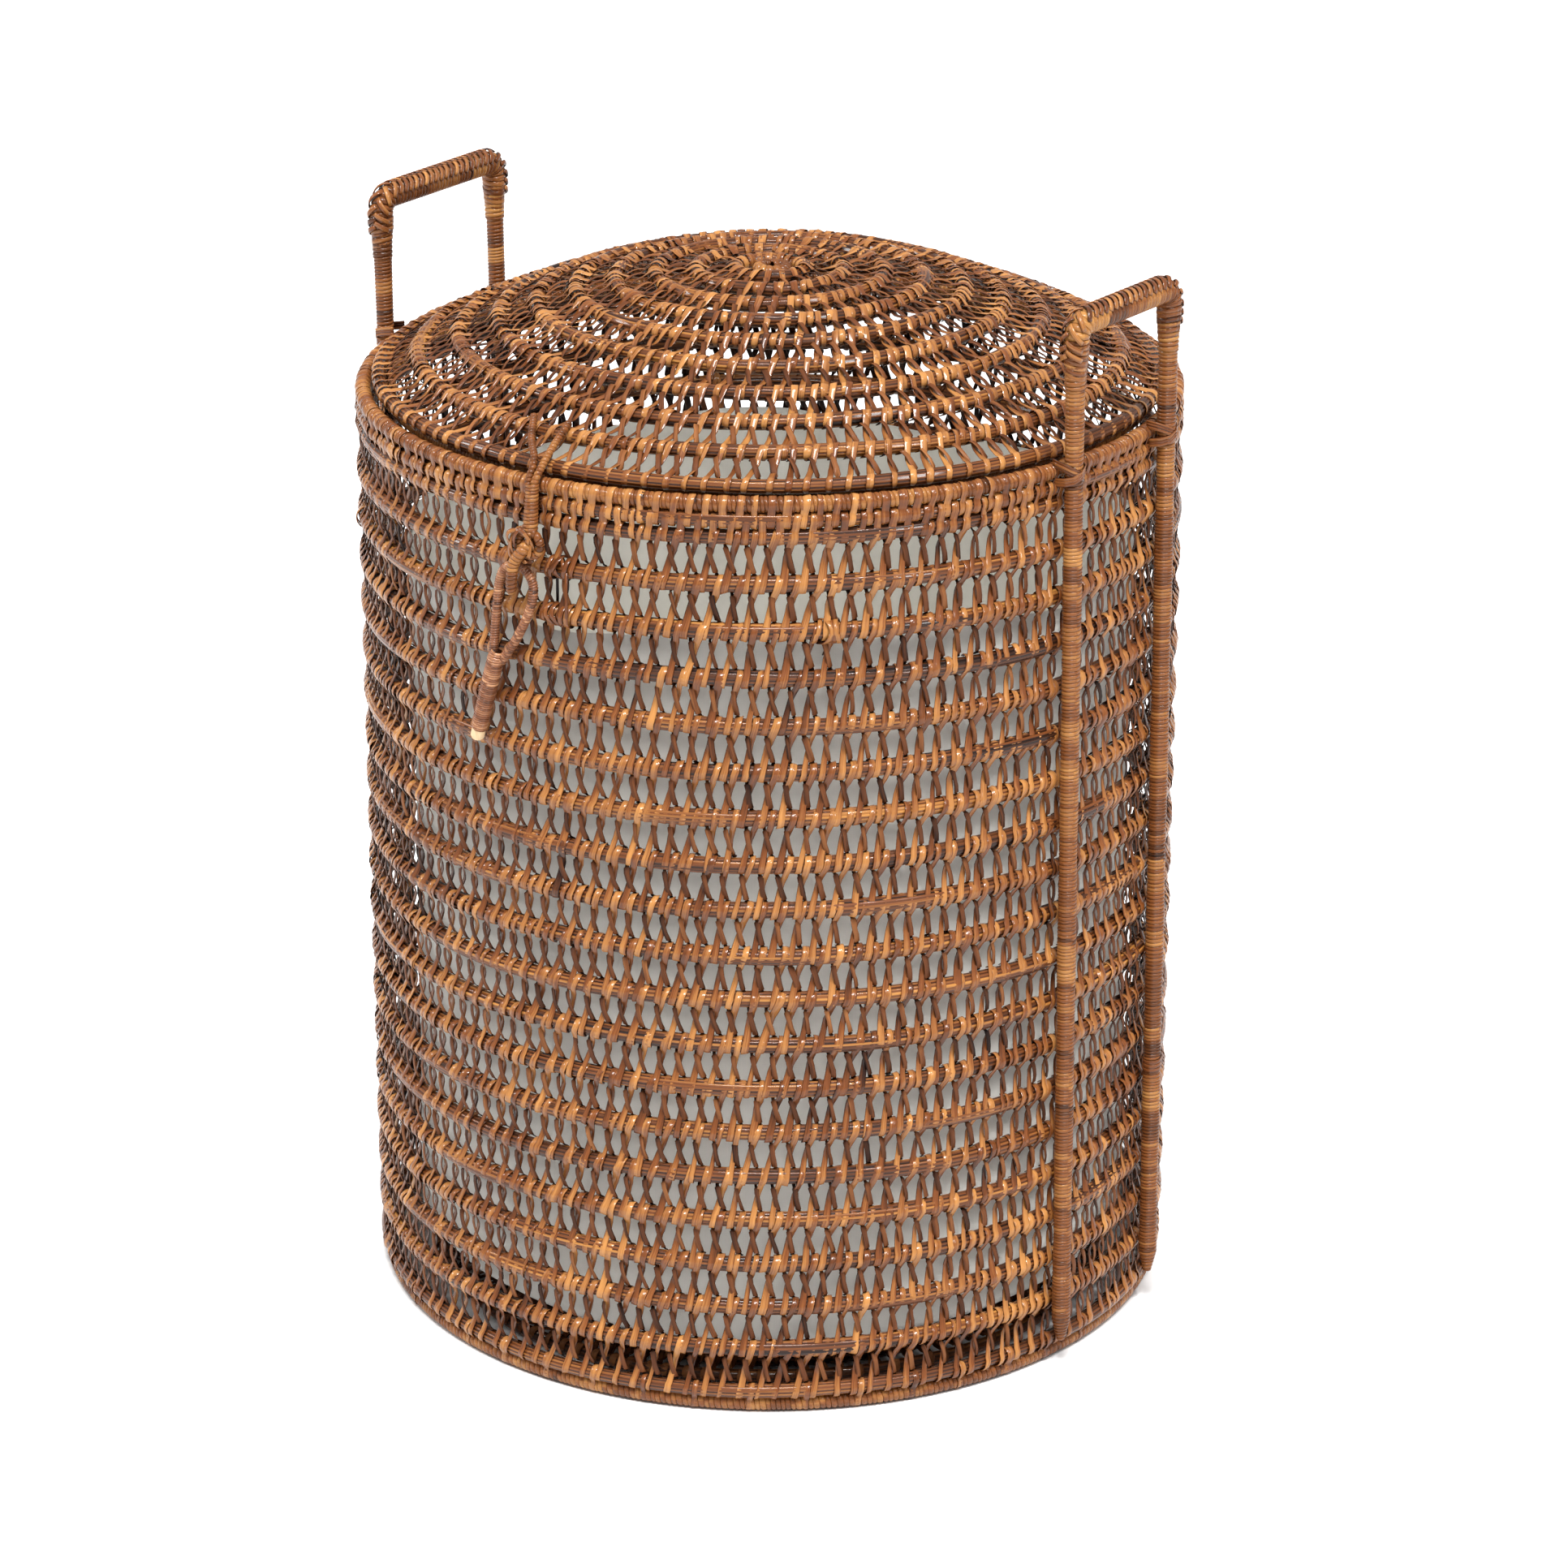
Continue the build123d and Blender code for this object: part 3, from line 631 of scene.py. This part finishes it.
# strips crossed over each post where it passes the rim
cross_ = []
for key in ("right_front", "right_rear", "left_front", "left_rear"):
    co = np.array([v.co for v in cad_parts["post_" + key].data.vertices])
    top, low = co[co[:, 2] > co[:, 2].max() - 0.004].mean(0), co[co[:, 2] < co[:, 2].min() + 0.004].mean(0)
    place = low + (top - low) * (RIM[1] - low[2]) / (top[2] - low[2])
    b0 = math.atan2(place[0], -place[1])
    r0 = math.hypot(place[0], place[1])
    for way in (-1, 1):
        k = np.arange(3)[:, None]
        pts = np.array([(-0.0070, -0.0085, -0.0052), (-0.0062, -0.0012, -0.0040),
                        (-0.0042, 0.0034, -0.0024), (0, 0.0051, 0), (0.0042, 0.0034, 0.0024),
                        (0.0062, -0.0012, 0.0040), (0.0070, -0.0085, 0.0052)])
        x, d, z = pts[:, 0][None], pts[:, 1][None], pts[:, 2][None]
        dense = lambda arr: np.interp(np.linspace(0, 6, 19), np.arange(7), arr)
        x, d, z = dense(x[0])[None], dense(d[0])[None], dense(z[0])[None]
        c = polar(r0 + d + 0.0006 * (way > 0) + 0 * k, b0 + x / r0 + 0 * k, RIM[1] + way * z + (k - 1) * 0.0016)
        face = np.interp(x, [-0.0072, -0.0052, 0, 0.0052, 0.0072], [0.0, 0.4, 1, 0.4, 0.0])
        h = polar(face + 0 * k, b0 + 0 * x + 0 * k, 0)
        edge_on = np.interp(x, [-0.009, 0, 0.009], [-1.0, 0, 1.0])
        h = h + polar(edge_on + 0 * k, b0 + np.pi / 2 + 0 * x + 0 * k, 0)
        cross_.append(ribbons(c, h, 0.00082, 0.00028, rng.normal(0.50, 0.12, 3)))
    for low_z in (0.25, 0.62):
        place = low + (top - low) * low_z
        if key == "right_rear" and low_z < 0.5 or key == "left_rear" and low_z > 0.5:
            b1, r1 = math.atan2(place[0], -place[1]), math.hypot(place[0], place[1])
            f = np.linspace(0, 2 * np.pi, 25)[None]
            k = np.arange(3)[:, None]
            c = polar(r1 + 0.0053 * np.cos(f) + 0 * k, b1 + 0.0053 * np.sin(f) / r1 + 0 * k,
                      place[2] + (k - 1) * 0.0024 + 0.0012 * np.sin(f))
            at_k = b1 + 0 * f + 0 * k
            h = polar(np.cos(f) + 0 * k, at_k, 0) + polar(np.sin(f) + 0 * k, at_k + np.pi / 2, 0)
            cross_.append(ribbons(c, h, 0.0012, 0.0003, rng.normal(0.4, 0.1, 3)))
v = join(*cross_)
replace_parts(make("rim_lashing_strips", *v[:2], "basket", M_LACE, *v[2:], slot="rattan_wrap"), "rim_lashings")

# ------------------------------------------------------------------ hinge, closure and knot
HINGE_X = (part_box("hinge_loop_left")[0].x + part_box("hinge_loop_left")[1].x) / 2
for name, x in (("left", HINGE_X), ("right", -HINGE_X)):
    b0 = math.pi - math.asin(x / RIM[0])
    v = loops(b0, RIM, lid[0], 4, 0.0026, gap=0.0019, tone=0.5, spread=0.0006)
    obj = make(f"hinge_loop_{name}_turns", *v[:2], "lid", M_LACE, *v[2:], slot="rattan_wrap")
    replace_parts(obj, f"hinge_loop_{name}")

row_1, row_2 = [(ring, ring + [0, 0.0001, 0]) for ring in wall[:2]]
v = join(loops(math.radians(5.8), *row_1, 4, 0.0030, gap=0.0012, tone=0.42, spread=0.0028),
         loops(math.radians(5.6), wall[0], wall[1], 1, 0.0018, gap=0.0010, tone=0.46, spread=0.0050),
         loops(math.radians(6.0), *row_2, 4, 0.0030, gap=0.0012, tone=0.5, spread=0.0026),
         loops(math.radians(42.2), *row_2, 5, 0.0026, gap=0.0012, tone=0.72, spread=0.0030))
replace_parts(make("closure_knot_turns", *v[:2], "basket", M_LACE, *v[2:], slot="rattan_tie"), "closure_knot")

left_leg = [deg(190.0, -5.0, 538.7), deg(206, -1.6, 532.6), deg(219, 1.5, 526.2),
            deg(228.7, 2.25, 517.2), deg(229.4, 2.6, 505)]
right_leg = [deg(190.0, 1.9, 538.7), deg(206, 2.6, 532.6), deg(219, 3.1, 526.2),
             deg(228.9, 3.15, 517.2), deg(229.6, 2.9, 505)]
outward_ = deg(1000.0, 2.7, 0)
for side_, leg in (("left", left_leg), ("right", right_leg)):
    bar(f"strap_leg_{side_}_wound", smooth_path(leg, 70), 0.0016, "lid", 0.0024, outward_ + [0, 0, 0.3],
        [f"strap_leg_{side_}"], thick=0.0005, sides=10)
collar = smooth_path([deg(228.9, 2.95, 517.5), deg(229.4, 2.8, 507), deg(229.8, 2.7, 497),
                      deg(230.4, 2.6, 490.5)], 50)
bar("strap_collar_wound", collar, np.linspace(0.0029, 0.0037, 50), "lid", 0.0019, outward_,
    ["strap_collar"], thick=0.0006)
eye_c = deg(231, 2.7, 485.8)
f = np.linspace(0, 2 * np.pi, 61)[:, None]
side_v = deg(1000.0, 92.7, 0)
eye = eye_c + 0.0064 * (np.cos(f) * side_v + np.sin(f) * np.array([0, 0, 1.0]))
bar("strap_eye_wound", eye, 0.0019, "lid", 0.0026, outward_, ["strap_eye"], thick=0.0006, sides=10)
tangle = []
for k in range(7):
    tilt, r_ = rng.normal(0, 0.45), 0.0075 + 0.0022 * rng.random()
    up2 = np.array([0, 0, 1.0]) * math.cos(tilt) + side_v * math.sin(tilt)
    across2 = side_v * math.cos(tilt) - np.array([0, 0, 1.0]) * math.sin(tilt)
    g = np.linspace(rng.uniform(-1, 1), rng.uniform(3.2, 5.4), 22)[:, None]
    pts = (eye_c + np.array([0, 0, -0.001]) - 0.0035 * side_v + 0.0035 * rng.normal(0, 0.4) * side_v
           + r_ * (0.62 * np.cos(g) * across2 + np.sin(g) * up2)
           + outward_ * (0.0018 + 0.0022 * np.sin(g * 1.5 + k)))
    hint = outward_ + 0.4 * (pts - eye_c) / r_
    tangle.append(ribbons(pts[None], hint[None], 0.0012, 0.00035, [rng.normal(0.62, 0.12)]))
v = join(*tangle)
make("strap_eye_tangle", *v[:2], "lid", M_LACE, *v[2:], slot="rattan_wrap")
hook = smooth_path([deg(227.5, 2.4, 485.0), deg(231, 2.5, 485.8), deg(235.2, 2.3, 483.0),
                    deg(236.6, 1.2, 476), deg(236.6, 0.8, 467), deg(236.2, 0.6, 458.5)], 70)
tip = np.interp(np.linspace(0, 1, 70), [0, 0.88, 0.96, 1], [0.0027, 0.0027, 0.0022, 0.0009])
bar("strap_hook_wound", hook, tip, "lid", 0.0023, side_v, ["strap_hook"], thick=0.0005)
hairpin = smooth_path([deg(229.6, -3.95, 417.5), deg(229.5, -3.05, 448), deg(229.4, -2.5, 462),
                       deg(229.4, -1.5, 469.5), deg(229.4, 0.15, 472), deg(229.4, 1.9, 469.4),
                       deg(229.4, 2.85, 462), deg(229.5, 2.3, 450), deg(229.6, 0.2, 433),
                       deg(229.6, -2.5, 417.5)], 150)
bar("peg_hairpin_wound", hairpin, 0.0021, "peg", 0.0015, outward_, ["peg_hairpin"],
    thick=0.0005, sides=12, material=M_PEG, uneven=0.14)
peg_path = np.linspace(deg(230.1, -3.0, 423.0), deg(231.1, -6.35, 377.5), 80)
swell = np.interp(np.linspace(0, 1, 80), [0, 0.08, 0.4, 0.9, 1], [0.0030, 0.0042, 0.0043, 0.0040, 0.0037])
bar("peg_shaft_wound", peg_path, swell, "peg", 0.0013, outward_, ["peg_shaft"],
    thick=0.0005, sides=16, material=M_PEG, uneven=0.14)
end_dir = unit(peg_path[-1] - peg_path[-2])
g = np.linspace(0, 2 * np.pi, 20, endpoint=False)[None]
u1 = unit(np.cross(end_dir, outward_))
u2 = np.cross(end_dir, u1)
stack = [(0.0036, -0.004), (0.0037, 0.0), (0.0036, 0.0050), (0.0026, 0.0062), (0.0004, 0.0052)]
v = np.stack([peg_path[-1] + end_dir * h_ + r_ * (np.cos(g[0])[:, None] * u1 + np.sin(g[0])[:, None] * u2)
              * (1 + 0.07 * rng.normal(0, 1, (20, 1)) * (h_ > 0.001)) for r_, h_ in stack])
idx = np.arange(100).reshape(5, 20)
q = np.stack([idx[:-1], idx[1:], np.roll(idx[1:], -1, 1), np.roll(idx[:-1], -1, 1)], -1).reshape(-1, 4)
make("peg_raw_end", v, q, "peg", M_RAW, 0.5, v * [60, 60, 2], slot="rattan_wrap")

# ties that hold the liner's hem to the second wall coil
ties = []
LINER_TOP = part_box("liner_side")[1].z
for b_deg in (42.5, 132.5, 222.5, 312.5):
    for k in range(2):
        start = deg(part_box("liner_side")[1].x * 1000 + 2.0, b_deg + 0.5 * k, LINER_TOP * 1000 - 9)
        end = deg(wall[1][0] * 1000 - 5.4, b_deg + 0.5 - k, wall[1][1] * 1000)
        sag = (start + end) / 2 + np.array([0, 0, -0.002 - 0.002 * k])
        pts = smooth_path([start, sag, end], 14)
        ties.append(ribbons(pts[None], np.broadcast_to([0, 0, 1.0], pts.shape)[None], 0.0011, 0.0004, [0.6]))
    ties.append(loops(math.radians(b_deg + 0.4), *row_2, 2, 0.0026, gap=0.0015, tone=0.68, spread=0.002))
v = join(*ties)
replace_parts(make("liner_tie_tapes", *v[:2], "basket", M_LACE, *v[2:], slot="rattan_tie"), "liner_ties")

# ------------------------------------------------------------------ liner
lo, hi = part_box("liner_side")
LINER_R, BAG_Z0, BAG_Z1 = hi.x, lo.z, hi.z


def bag_wall(bearing, share):
    """Radius and height of the hanging cloth: share 0 at the bottom, 1 at the hem."""
    fold = 0.0016 * np.sin(9 * bearing + 1.1) + 0.0011 * np.sin(17 * bearing + 0.4)
    fold = fold + 0.0006 * np.sin(31 * bearing)
    belly = 0.004 * (1 - share) ** 2 - 0.010 * np.clip(1 - share / 0.03, 0, 1) ** 2
    droop = 0.0035 * np.cos(4 * (bearing - math.radians(42.5))) + 0.0015 * np.sin(7 * bearing)
    radius = LINER_R - 0.002 + fold * (0.35 + 0.65 * share) + belly
    return radius, BAG_Z0 + (BAG_Z1 - BAG_Z0 - 0.004) * share + droop * share**4


def bag_strip(share0, share1, rows, lift=0.0, cols=288):
    b = np.linspace(0, 2 * np.pi, cols, endpoint=False)[None]
    s = np.linspace(share0, share1, rows)[:, None]
    r, z = bag_wall(b, s)
    v = polar(r + lift, b + 0 * s, z)
    idx = np.arange(rows * cols).reshape(rows, cols)
    q = np.stack([idx[:-1], np.roll(idx[:-1], -1, 1), np.roll(idx[1:], -1, 1), idx[1:]], -1).reshape(-1, 4)
    grain = np.stack([b * LINER_R + 0 * s, z + 0 * b, 0 * b + 0 * s], -1)
    return v.reshape(-1, 3), q, np.full(v[..., 0].size, 0.5), grain.reshape(-1, 3)


parts = bag_strip(0, 1, 70)
side = make("liner_side_cloth", *parts[:2], "basket", M_CLOTH, *parts[2:], slot="liner_fabric")
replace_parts(side, "liner_side")
b = np.linspace(0, 2 * np.pi, 288, endpoint=False)[None]
s = np.linspace(0.02, 1, 40)[:, None]
rim_r, rim_z = bag_wall(b, 0 * s)
z = rim_z - 0.004 * (1 - s**2) + 0.0012 * np.sin(3 * b + 5 * s) * s * (1 - s) * 4
v = polar(rim_r * s, b + 0 * s, z)
idx = np.arange(v[..., 0].size).reshape(40, 288)
q = np.stack([idx[:-1], idx[1:], np.roll(idx[1:], -1, 1), np.roll(idx[:-1], -1, 1)], -1).reshape(-1, 4)
under = make("liner_bottom_cloth", v, q, "basket", M_CLOTH, 0.5, v, slot="liner_fabric")
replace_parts(under, "liner_bottom")
parts = bag_strip(0.948, 1.002, 6, lift=0.0013)
hem = make("liner_hem_fold", *parts[:2], "basket", M_CLOTH, *parts[2:], slot="liner_fabric")
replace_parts(hem, "liner_hem")

# ------------------------------------------------------------------ materials on the CAD pieces that stay
for name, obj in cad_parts.items():
    if not obj.hide_render:
        co = np.array([v.co for v in obj.data.vertices])
        obj.data.materials.clear()
        obj.data.materials.append(M_WRAP)
        a = obj.data.attributes.new("tint", "FLOAT", "POINT")
        a.data.foreach_set("value", np.full(len(co), 0.5, np.float32))
        g = obj.data.attributes.new("grain", "FLOAT_VECTOR", "POINT")
        g.data.foreach_set("vector", (co * [1, 1, 30]).astype(np.float32).ravel())

# ------------------------------------------------------------------ stage, light, camera
bpy.ops.mesh.primitive_plane_add(size=24)
ground = bpy.context.object
ground.name = "studio_floor"
white = bpy.data.materials.new("studio_white")
white.use_nodes = True
white.node_tree.nodes["Principled BSDF"].inputs["Base Color"].default_value = (0.78, 0.78, 0.78, 1)
white.node_tree.nodes["Principled BSDF"].inputs["Roughness"].default_value = 0.9
ground.data.materials.append(white)

world = bpy.data.worlds.new("studio")
world.use_nodes = True
world.node_tree.nodes["Background"].inputs["Color"].default_value = (1, 1, 1, 1)
world.node_tree.nodes["Background"].inputs["Strength"].default_value = 0.50
bpy.context.scene.world = world


def softbox(name, place, aim, size, power):
    data = bpy.data.lights.new(name, "AREA")
    data.shape = "RECTANGLE"
    data.size, data.size_y = size
    data.energy = power
    lamp = bpy.data.objects.new(name, data)
    lamp.location = place
    lamp.rotation_euler = (Vector(aim) - Vector(place)).to_track_quat("-Z", "Y").to_euler()
    bpy.context.collection.objects.link(lamp)


BEARING = math.radians(34.5)   # the camera's, from the front towards +X
sun = bpy.data.lights.new("overhead", "SUN")
sun.energy = 4.0
sun.angle = math.radians(20)
glint = bpy.data.lights.new("glint", "SUN")
glint.energy = 1.2
glint.angle = math.radians(3.5)
for name, data, turn_ in (("overhead", sun, BEARING - math.radians(4)),
                          ("glint", glint, BEARING + math.radians(42))):
    lamp = bpy.data.objects.new(name, data)
    towards = Vector((math.sin(turn_) * 0.5, -math.cos(turn_) * 0.5, 1.1))
    lamp.rotation_euler = towards.to_track_quat("Z", "Y").to_euler()
    bpy.context.collection.objects.link(lamp)
softbox("left", (-2.3, -1.2, 1.9), (0, 0, 0.3), (0.6, 0.6), 26)
softbox("right", (2.4, -0.5, 2.4), (0, 0, 0.35), (0.5, 0.5), 22)

camera = bpy.data.cameras.new("camera")
camera.sensor_width = 36.0
camera.lens = 114.07
cam = bpy.data.objects.new("camera", camera)
across, back, up = 0.0077, 2.596, 1.293
cam.location = (across * math.cos(BEARING) + back * math.sin(BEARING),
                across * math.sin(BEARING) - back * math.cos(BEARING), up)
cam.rotation_euler = (math.radians(90 - 21.36), 0, BEARING)
camera.clip_end = 60
bpy.context.collection.objects.link(cam)
bpy.context.scene.camera = cam
bpy.context.scene.view_settings.view_transform = "Standard"
